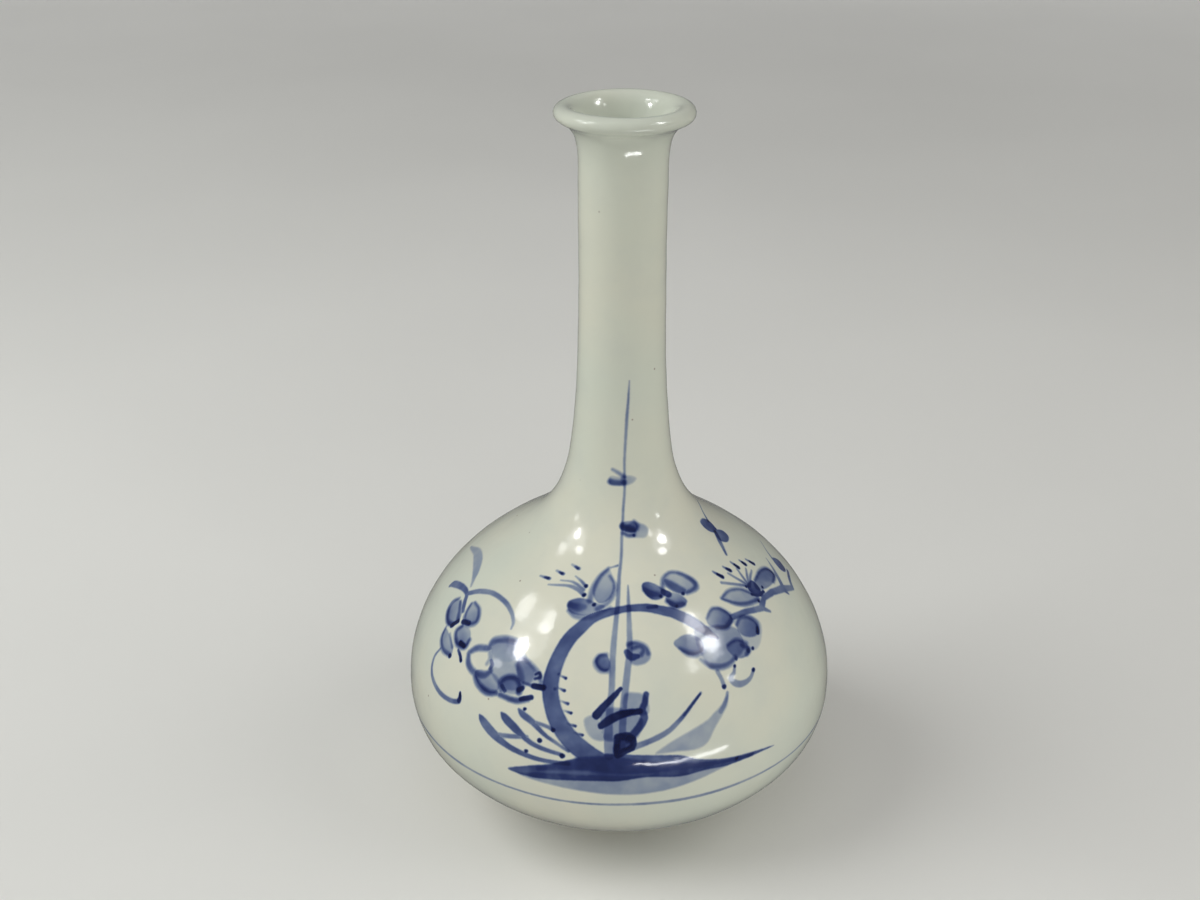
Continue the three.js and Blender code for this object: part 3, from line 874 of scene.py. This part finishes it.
def split_cells(rows, length_at, step_az):
    """Cells of the skin's grid, as a list of (corners, size), the smaller ones where a mark's edge passes."""
    ii, jj = np.meshgrid(np.arange(COLUMNS) * SPLIT, np.arange(len(rows) - 1) * SPLIT, indexing="ij")
    cells = np.stack([ii.ravel(), jj.ravel()], axis=1)
    leaves = []
    size = SPLIT
    while size > 1:
        middle_az = (cells[:, 0] + size / 2) * step_az
        middle_s = length_at(cells[:, 1] + size / 2)
        wide = np.radians(size * step_az) * outline_at(middle_s)[:, 0]
        tall = length_at(cells[:, 1] + size) - length_at(cells[:, 1])
        distance, _ = paint_at(middle_az, middle_s)
        near = np.min([np.abs(distance[layer]) for layer in LAYERS], axis=0)
        split = (near < np.hypot(wide, tall) / 2 + SPLIT_MARGIN) & (middle_s < glass_s[top_index])
        split &= np.maximum(wide, tall) > SPLIT_OVER
        leaves.append((cells[~split], size))
        size //= 2
        cells = np.concatenate([cells[split] + (i * size, j * size) for i in (0, 1) for j in (0, 1)])
    return leaves + [(cells, size)]


def build_skin():
    """The outer glaze: a shell whose outside is a grid that splits along the marks' edges."""
    rows = skin_rows()
    fine_cols = COLUMNS * SPLIT
    step_az = 360 / fine_cols

    def length_at(j):
        return np.interp(j, np.arange(len(rows)) * SPLIT, rows)

    leaves = split_cells(rows, length_at, step_az)
    corners = set()
    for cells, size in leaves:
        for i, j in cells.tolist():
            corners.update(((i + di) % fine_cols, j + dj) for di in (0, size) for dj in (0, size))
    keys = sorted(corners)
    index = {key: k for k, key in enumerate(keys)}
    faces = []
    for cells, size in leaves:
        for i, j in cells.tolist():
            path = [(i + k, j) for k in range(size)] + [(i + size, j + k) for k in range(size)]
            path += [(i + size - k, j + size) for k in range(size)] + [(i, j + size - k) for k in range(size)]
            face = [index.get((a % fine_cols, b)) for a, b in path]
            faces.append([v for v in face if v is not None])
    keys = np.array(keys, float)
    az, s = keys[:, 0] * step_az, length_at(keys[:, 1])
    points = skin_point(az, s)
    distance, tone = paint_at(az, s)

    # The shell's inner side, on the clay, and the bevelled edge at the glaze line.
    outer_count = len(points)
    under = stretch(0, THROAT, UNDER_ROW, GLAZE)
    line = foot_wall(GLAZE_LINE)
    bevel = (line[0] + BEVEL_RUN, line[1] + GLAZE)
    angles = np.radians(np.arange(COLUMNS) * 360 / COLUMNS)

    def circle(r, h):
        return np.stack([r * np.sin(angles), -r * np.cos(angles), np.full(COLUMNS, h)], axis=1)

    circles = [circle(r, h) for r, h in (bevel, line, *under)]
    starts = [outer_count + k * COLUMNS for k in range(len(circles))]
    first, last = ([index[(c * SPLIT, j * SPLIT)] for c in range(COLUMNS)] for j in (0, len(rows) - 1))
    loops = [first, *(list(range(start, start + COLUMNS)) for start in starts), last]
    for low, high in zip(loops, loops[1:]):
        for c in range(COLUMNS):
            d = (c + 1) % COLUMNS
            faces.append([low[d], low[c], high[c], high[d]])
    all_points = np.vstack([points] + circles) * MM
    mesh = bpy.data.meshes.new("outer_glaze_painted")
    mesh.from_pydata(all_points.tolist(), [], faces)
    mesh.shade_smooth()
    for layer in LAYERS:
        for kind, values, elsewhere in (("edge", distance[layer], FAR), ("tone", tone[layer], 0)):
            data = np.full(len(all_points), elsewhere, np.float32)
            data[:outer_count] = values
            attribute = mesh.attributes.new(f"{kind}_{layer}", "FLOAT", "POINT")
            attribute.data.foreach_set("value", data)
    inward = -outward_at(np.linspace(0, THROAT, len(under)))
    edge_normals = [circle(1, BEVEL_FALL)] * 2 + [circle(r, h) for r, h in inward]
    normals = np.vstack([skin_normal(az, s)] + edge_normals)
    mesh.normals_split_custom_set_from_vertices(normals / np.linalg.norm(normals, axis=1)[:, None])
    return finish_mesh("outer_glaze_painted", mesh, "outer_glaze")


# ---------------------------------------------------------------- materials
class Nodes:
    """Short hands for a material's node tree."""

    def __init__(self, name):
        self.material = bpy.data.materials.new(name)
        self.material.use_nodes = True
        self.tree = self.material.node_tree
        self.shader = self.tree.nodes["Principled BSDF"]
        self.place = self.add("ShaderNodeTexCoord").outputs["Object"]

    def put(self, socket, value):
        if isinstance(value, bpy.types.NodeSocket):
            self.tree.links.new(value, socket)
        elif value is not None:
            socket.default_value = value

    def set(self, **values):
        """Values or outputs for the shader's sockets: base_color is its Base Color."""
        for key, value in values.items():
            self.put(self.shader.inputs[" ".join(w.capitalize() for w in key.split("_"))], value)

    def add(self, kind, inputs=(), **settings):
        """A new node, with (socket, value or output) for each of its inputs."""
        made = self.tree.nodes.new(kind)
        for key, value in settings.items():
            setattr(made, key, value)
        for key, value in inputs:
            self.put(made.inputs[key], value)
        return made

    def math(self, operation, *values, clamp=False):
        return self.add("ShaderNodeMath", enumerate(values), operation=operation, use_clamp=clamp).outputs[0]

    def noise(self, scale, detail=2.0, rough=0.5):
        inputs = (("Vector", self.place), ("Scale", scale), ("Detail", detail), ("Roughness", rough))
        return self.add("ShaderNodeTexNoise", inputs).outputs["Fac"]

    def ramp(self, value, low, high, start=0.0, end=1.0):
        inputs = (("Value", value), ("From Min", low), ("From Max", high), ("To Min", start), ("To Max", end))
        return self.add("ShaderNodeMapRange", inputs, interpolation_type="SMOOTHSTEP").outputs["Result"]

    def mix(self, factor, a, b):
        inputs = (("Factor", factor), ("A", a), ("B", b))
        return self.add("ShaderNodeMix", inputs, data_type="RGBA").outputs["Result"]

    def stops(self, value, stops):
        made = self.add("ShaderNodeValToRGB", (("Fac", value),))
        elements = made.color_ramp.elements
        while len(elements) < len(stops):
            elements.new(0.5)
        for element, (place, colour) in zip(elements, stops):
            element.position = place
            element.color = colour
        return made.outputs["Color"]

    def bump(self, height, distance, strength, normal=None):
        inputs = (("Height", height), ("Distance", distance), ("Strength", strength), ("Normal", normal))
        return self.add("ShaderNodeBump", inputs).outputs["Normal"]

    def attribute(self, name):
        return self.add("ShaderNodeAttribute", attribute_name=name).outputs["Fac"]


def linear(r, g, b):
    """A colour as seen, 0 to 255, as the linear colour that a shader takes."""
    shares = (c / 255 for c in (r, g, b))
    return (*(c / 12.92 if c <= 10 / 255 else ((c + 0.055) / 1.055) ** 2.4 for c in shares), 1.0)


GLAZE_WHITE = linear(217, 216, 200)
GLAZE_GREEN = linear(208, 213, 200)
GLAZE_GREY = linear(202, 206, 197)
COBALT = [
    (0.0, GLAZE_WHITE),
    (0.18, linear(182, 188, 188)),
    (0.36, linear(138, 150, 169)),
    (0.55, linear(84, 99, 140)),
    (0.75, linear(40, 53, 104)),
    (1.0, linear(3, 10, 54)),
]


GLAZE_ROUGHNESS = (0.09, 0.17)
PEEL_DEPTH = 0.00017
PINHOLE_DEPTH = 0.00001
SPECK_SCALE = 70.0
SPECK_SIZE = 0.016
SPECK_HALO = 2.4
SPECK_STRENGTH = 0.65
SPECK_BROWN = linear(126, 108, 98)


def glaze_base(nodes):
    """Clear glaze over porcelain: warm white drifting to a faint green, pale clouds, a few iron specks."""
    drift = nodes.ramp(nodes.noise(14, 2), 0.35, 0.68)
    clouds = nodes.ramp(nodes.noise(60, 3, 0.6), 0.4, 0.75, 0, 0.35)
    colour = nodes.mix(drift, GLAZE_WHITE, GLAZE_GREEN)
    colour = nodes.mix(clouds, colour, GLAZE_GREY)
    cells = nodes.add("ShaderNodeTexVoronoi", (("Vector", nodes.place), ("Scale", SPECK_SCALE)), feature="F1")
    speck = nodes.ramp(cells.outputs["Distance"], SPECK_SIZE, SPECK_SIZE * SPECK_HALO, SPECK_STRENGTH, 0)
    return nodes.mix(speck, colour, SPECK_BROWN)


def glaze_surface(nodes):
    """A glassy surface with a very slight orange peel and a few pinholes."""
    roughness = nodes.ramp(nodes.noise(90, 3, 0.6), 0.3, 0.7, *GLAZE_ROUGHNESS)
    peel = nodes.bump(nodes.noise(150), PEEL_DEPTH, 0.5)
    fine = nodes.bump(nodes.noise(900), PINHOLE_DEPTH, 0.6, peel)
    nodes.shader.inputs["IOR"].default_value = 1.5
    nodes.set(coat_weight=0.35, coat_roughness=0.05, roughness=roughness, normal=fine, coat_normal=peel)


# For each layer: how soft its edge is and how far it wavers, in millimetres, how uneven the brush leaves it,
# how far from its edge the pigment gathers, in millimetres, and its strength.
BRUSHES = {
    WASH: (0.7, 0.14, 0.16, 0.8, 1.05),
    BAND: (0.5, 0.14, 0.16, 0.9, 1.06),
    SOFT: (0.85, 0.14, 0.16, 0.6, 1.0),
    LINE: (0.48, 0.12, 0.2, 0.5, 0.88),
    DARK: (0.42, 0.16, 0.14, 0.4, 1.04),
}


def painted_glaze():
    nodes = Nodes("painted_glaze")
    base = glaze_base(nodes)
    wobble = nodes.math("SUBTRACT", nodes.noise(700, 2, 0.6), 0.5)
    load = nodes.noise(190)
    broad = nodes.noise(80)
    bare = None
    for layer in LAYERS:
        soft, waver, grain, pool_width, strength = BRUSHES[layer]
        edge = nodes.math("MULTIPLY_ADD", wobble, waver * 2, nodes.attribute(f"edge_{layer}"))
        cover = nodes.ramp(edge, soft, -soft)
        # Pigment gathers just inside the edge of a stroke, and the brush leaves it uneven.
        pool = nodes.ramp(edge, -pool_width, 0.0, 0.97 * strength, 1.05 * strength)
        uneven = nodes.ramp(load, 0.3, 0.7, 1 - grain * 0.45, 1 + grain * 0.35)
        slow = nodes.ramp(broad, 0.35, 0.65, 0.9, 1.1)
        tone = nodes.math("MULTIPLY", nodes.attribute(f"tone_{layer}"), pool)
        tone = nodes.math("MULTIPLY", tone, nodes.math("MULTIPLY", uneven, slow), clamp=True)
        amount = nodes.math("MULTIPLY", tone, cover, clamp=True)
        left = nodes.math("SUBTRACT", 1.0, amount, clamp=True)
        bare = nodes.math("MULTIPLY", bare, left) if bare else left
    density = nodes.math("SUBTRACT", 1.0, bare, clamp=True)
    cobalt = nodes.stops(density, COBALT)
    nodes.set(base_color=nodes.mix(nodes.ramp(density, 0.0, 0.12), base, cobalt))
    glaze_surface(nodes)
    return nodes.material


def plain_glaze(name):
    nodes = Nodes(name)
    nodes.set(base_color=glaze_base(nodes))
    glaze_surface(nodes)
    return nodes.material


GRIT_BROWN = linear(150, 128, 104)
TURNING_SCALE = 420.0
TURNING_DEPTH = 0.00004
GRAIN_DEPTH = 0.00006


def clay(name, light, dark, grain):
    """Unglazed porcelain: matt, with fine grit, faint turning lines and a slight change of colour."""
    nodes = Nodes(name)
    drift = nodes.ramp(nodes.noise(35, 3, 0.6), 0.3, 0.7)
    colour = nodes.mix(drift, light, dark)
    grit = nodes.ramp(nodes.noise(2600, 2, 0.7), 0.62, 0.72)
    turning = (("Vector", nodes.place), ("Scale", TURNING_SCALE), ("Distortion", 1.5))
    turning = nodes.add("ShaderNodeTexWave", turning, wave_type="RINGS", rings_direction="Z")
    lines = nodes.bump(turning.outputs["Fac"], TURNING_DEPTH, 0.4)
    nodes.set(
        base_color=nodes.mix(grit, colour, GRIT_BROWN),
        roughness=nodes.ramp(nodes.noise(500), 0.3, 0.7, 0.72, 0.9),
        normal=nodes.bump(nodes.noise(1800, 3, 0.7), GRAIN_DEPTH * grain, 0.6, lines),
    )
    return nodes.material


# The floor's painted light: a glow that rises from nothing at GLOW_FROM metres from the middle to GLOW at
# GLOW_TO.
GLOW = 0.25
GLOW_FROM, GLOW_TO = 0.8, 2.6


def floor_material():
    """Plain pale card that glows a little, more the farther it is from the middle: painted light that keeps
    it pale from every side, far from the lamps.
    """
    nodes = Nodes("studio_floor")
    drift = nodes.ramp(nodes.noise(2.5), 0.3, 0.7)
    far = nodes.add("ShaderNodeVectorMath", ((0, nodes.place),), operation="LENGTH")
    nodes.set(
        base_color=nodes.mix(drift, linear(226, 225, 222), linear(230, 229, 226)),
        roughness=0.75,
        # Painted light: the card glows, and the glow grows with the distance from the middle.
        emission_color=linear(226, 226, 224),
        emission_strength=nodes.ramp(far.outputs["Value"], GLOW_FROM, GLOW_TO, 0, GLOW),
    )
    nodes.material.cycles.emission_sampling = "NONE"
    return nodes.material


# ---------------------------------------------------------------- the pieces
CLAY_STEP = 3.0
LIP_STEP = 0.8
LUTING_STEP = 0.4
INNER_GLAZE_STEP = 2.0
belly_low, belly_high = BELLY_JOINT - SLIP / 2, BELLY_JOINT + SLIP / 2
neck_low, neck_high = NECK_JOINT - SLIP / 2, NECK_JOINT + SLIP / 2


def wall(low, high, step=CLAY_STEP):
    """The clay wall between two heights."""
    outer = stretch(place_outside(low), place_outside(high), step, GLAZE)
    inner = stretch(place_inside(low), place_inside(high), step, GLAZE)
    return ring_section(outer, inner)


skin = build_skin()
outer_clay = stretch(0, float(place_outside(belly_low)), CLAY_STEP, GLAZE)
inner_clay = stretch(float(place_inside(belly_low)), GLASS_END, CLAY_STEP, GLAZE)
inner_clay[-1] = (0, FLOOR_HEIGHT - GLAZE)


def rounded(corner, before, after, size):
    """A few points round a corner, between the lines to its two neighbours."""
    corner, before, after = (np.array(p, float) for p in (corner, before, after))
    a = corner + (before - corner) / np.linalg.norm(before - corner) * size
    b = corner + (after - corner) / np.linalg.norm(after - corner) * size
    t = np.linspace(0, 1, 6)[:, None]
    return [tuple(p) for p in a * (1 - t) ** 2 + corner * 2 * t * (1 - t) + b * t**2]


ceiling_edge = (RECESS_RADIUS, foot_top[1])
low_inside = (STANDING_EDGE[0] - EDGE_ROUND, 0)
low_outside = foot_wall(0)
foot_section = [
    ceiling_edge,
    *rounded(low_inside, ceiling_edge, low_outside, EDGE_ROUND),
    *rounded(low_outside, low_inside, foot_top, EDGE_ROUND),
    foot_wall(GLAZE_LINE),
    foot_top,
]
foot_ring = lathe("foot_ring_biscuit", foot_section, "foot_ring", columns=160, crease=50)
lower_section = [(0, foot_top[1] + RECESS_RISE), ceiling_edge, *outer_clay, *inner_clay]
lower_body = lathe("lower_body_clay", lower_section, "lower_body")
belly_section = wall(belly_low, belly_high, LUTING_STEP)
belly_luting = lathe("belly_luting_slip", belly_section, "belly_luting")
upper_body = lathe("upper_body_clay", wall(belly_high, neck_low), "upper_body")
neck_luting = lathe("neck_luting_slip", wall(neck_low, neck_high, LUTING_STEP), "neck_luting")
neck = lathe("neck_clay", wall(neck_high, RIM_HEIGHT), "neck")
rim_section = stretch(float(place_outside(RIM_HEIGHT)), THROAT, LIP_STEP, GLAZE)
mouth_rim = lathe("mouth_rim_clay", rim_section, "mouth_rim", crease=60)
inner_under = stretch(THROAT, GLASS_END, INNER_GLAZE_STEP, GLAZE)
inner_glass = stretch(THROAT, GLASS_END, INNER_GLAZE_STEP)
inner_under[-1] = (0, FLOOR_HEIGHT - GLAZE)
inner_glass[-1] = (0, FLOOR_HEIGHT)
inner_section = ring_section(inner_glass, inner_under)
inner_glaze = lathe("inner_glaze_coat", inner_section, "inner_glaze", columns=160, crease=60)
wall_drop = foot_top[1] - GLAZE_LINE
wall_run = (STANDING_EDGE[0] - EDGE_ROUND - RECESS_RADIUS) * wall_drop / (foot_top[1] - EDGE_ROUND)
base_section = [
    (0, foot_top[1] + RECESS_RISE - GLAZE),
    # The coat thickens where it turns down the recess's wall.
    (RECESS_RADIUS - 3, foot_top[1] - GLAZE + 0.05),
    (RECESS_RADIUS - GLAZE - 0.5, foot_top[1] - GLAZE - 0.15),
    (RECESS_RADIUS - GLAZE + 0.05, foot_top[1] - GLAZE - 0.8),
    (RECESS_RADIUS - GLAZE + wall_run, GLAZE_LINE + GLAZE),
    (RECESS_RADIUS + wall_run, GLAZE_LINE),
    ceiling_edge,
    (0, foot_top[1] + RECESS_RISE),
]
base_glaze = lathe("base_glaze_coat", base_section, "base_glaze", crease=60)

skin.data.materials.append(painted_glaze())
for piece, name in ((inner_glaze, "inner_glaze_glass"), (base_glaze, "base_glaze_glass")):
    piece.data.materials.append(plain_glaze(name))
biscuit = clay("biscuit_foot", linear(222, 208, 186), linear(206, 184, 156), 1.4)
body_clay = clay("porcelain_body", linear(230, 227, 214), linear(222, 217, 202), 1.0)
slip_clay = clay("slip_joint", linear(222, 217, 202), linear(212, 205, 188), 1.2)
foot_ring.data.materials.append(biscuit)
for piece in (lower_body, upper_body, neck, mouth_rim):
    piece.data.materials.append(body_clay)
for piece in (belly_luting, neck_luting):
    piece.data.materials.append(slip_clay)

# ---------------------------------------------------------------- floor, light and camera
FLOOR_FLAT = 2.2
WALL_BEND = 1.0
WALL_HEIGHT = 3.0
BEND_STEPS = 12
FLOOR_COLUMNS = 96


def make_floor():
    """A wide plain round floor that turns up into a pale backdrop on every side."""
    section = [(FLOOR_FLAT + WALL_BEND, WALL_HEIGHT)]
    for k in range(BEND_STEPS, 0, -1):
        a = math.pi / 2 * k / BEND_STEPS
        section.append((FLOOR_FLAT + WALL_BEND * math.sin(a), WALL_BEND * (1 - math.cos(a))))
    section += [(FLOOR_FLAT, 0), (FLOOR_FLAT / 2, 0), (0, 0)]
    mesh = turn_mesh("studio_floor", section, FLOOR_COLUMNS, closed=False)
    obj = bpy.data.objects.new("studio_floor", mesh)
    bpy.context.scene.collection.objects.link(obj)
    obj.data.materials.append(floor_material())
    obj.visible_glossy = False


make_floor()

AIM = Vector((0, 0, 0.1))
LOW_PANEL_AZ = 28.5
LOW_PANEL_DISTANCE = 0.305
LOW_PANEL_HEIGHT = 0.004
LOW_PANEL_SIZE = (0.23, 0.036)
LOW_PANEL_POWER = 0.46


def add_light(name, data, glossy=True, diffuse=True):
    obj = bpy.data.objects.new(name, data)
    obj.visible_camera = False
    obj.visible_glossy = glossy
    obj.visible_diffuse = diffuse
    bpy.context.scene.collection.objects.link(obj)
    return obj


def lamp(name, az, elevation, distance, size, power, colour=(1, 1, 1), spread=180, aim=AIM, **seen):
    """A round light at an angle round the bottle (0 in front, growing to the right), turned towards it."""
    a, e = math.radians(az), math.radians(elevation)
    place = aim + distance * Vector((math.sin(a) * math.cos(e), -math.cos(a) * math.cos(e), math.sin(e)))
    data = bpy.data.lights.new(name, "AREA")
    data.shape = "DISK"
    data.size = size
    data.energy = power
    data.color = colour
    data.spread = math.radians(spread)
    obj = add_light(name, data, **seen)
    obj.location = place
    obj.rotation_euler = (aim - place).to_track_quat("-Z", "Y").to_euler()


# Broad soft light that models the form and leaves no patch in the glaze.
lamp("key_left", -82, 42, 1.6, 1.3, 15, (0.98, 1, 0.975), glossy=False)
lamp("fill_right", 80, 38, 1.6, 1.2, 6, (1, 0.99, 0.95), glossy=False)
lamp("top_soft", 0, 75, 1.6, 1.2, 2.6, glossy=False)
lamp(
    "low_front", 30, 8, 0.8, 0.2, 0.075, (1, 0.985, 0.94), spread=50, aim=Vector((0, 0, 0.03)), glossy=False,
)
# Small lamps that give the highlights.
HIGHLIGHT = dict(diffuse=False, distance=1.1)
for name, az, elevation, size, power in (
    ("left_main", -70, 37, 0.15, 1.1), ("left_high", -70, 53, 0.15, 0.4), ("left_rear", -93, 46, 0.16, 0.35),
    ("left_low", -75, 22, 0.12, 0.15), ("left_glow", -72, 43, 0.45, 0.8), ("right_main", 70, 41, 0.18, 1.3),
    ("right_high", 73, 52, 0.15, 0.5), ("right_low", 66, 20, 0.09, 0.15), ("right_front", 51, 39, 0.1, 0.14),
    ("right_glow", 70, 44, 0.4, 0.6),
):
    lamp(name, az, elevation, size=size, power=power, **HIGHLIGHT)


def make_low_panel():
    """A light panel that lies on the floor in front, to the right, out of view."""
    a = math.radians(LOW_PANEL_AZ)
    data = bpy.data.lights.new("low_panel", "AREA")
    data.shape = "RECTANGLE"
    data.size, data.size_y = LOW_PANEL_SIZE
    data.energy = LOW_PANEL_POWER
    obj = add_light("low_panel", data, diffuse=False)
    obj.location = (LOW_PANEL_DISTANCE * math.sin(a), -LOW_PANEL_DISTANCE * math.cos(a), LOW_PANEL_HEIGHT)
    obj.rotation_euler = (math.pi, 0, a)


make_low_panel()

WORLD_COLOUR = (0.92, 0.95, 1.0, 1)
WORLD_STRENGTH = 0.12
world = bpy.data.worlds.new("studio")
world.use_nodes = True
background = world.node_tree.nodes["Background"]
background.inputs["Color"].default_value = WORLD_COLOUR
background.inputs["Strength"].default_value = WORLD_STRENGTH
bpy.context.scene.world = world

CAMERA_PLACE = Vector((0, -0.50265, 0.37652))
CAMERA_PITCH = math.radians(25.656)
CAMERA_YAW = math.radians(0.83)
CAMERA_ROLL = math.radians(0.189)
CAMERA_LENS = 47.6


def make_camera():
    data = bpy.data.cameras.new("camera")
    data.sensor_width = 36
    data.lens = CAMERA_LENS
    data.clip_start = 0.01
    data.clip_end = 50
    turn = Matrix.Rotation(CAMERA_YAW, 4, "Z")
    turn @= Matrix.Rotation(math.pi / 2 - CAMERA_PITCH, 4, "X")
    turn @= Matrix.Rotation(CAMERA_ROLL, 4, "Z")
    obj = bpy.data.objects.new("camera", data)
    obj.matrix_world = Matrix.Translation(CAMERA_PLACE) @ turn
    bpy.context.scene.collection.objects.link(obj)
    bpy.context.scene.camera = obj


make_camera()
bpy.context.scene.view_settings.view_transform = "Standard"
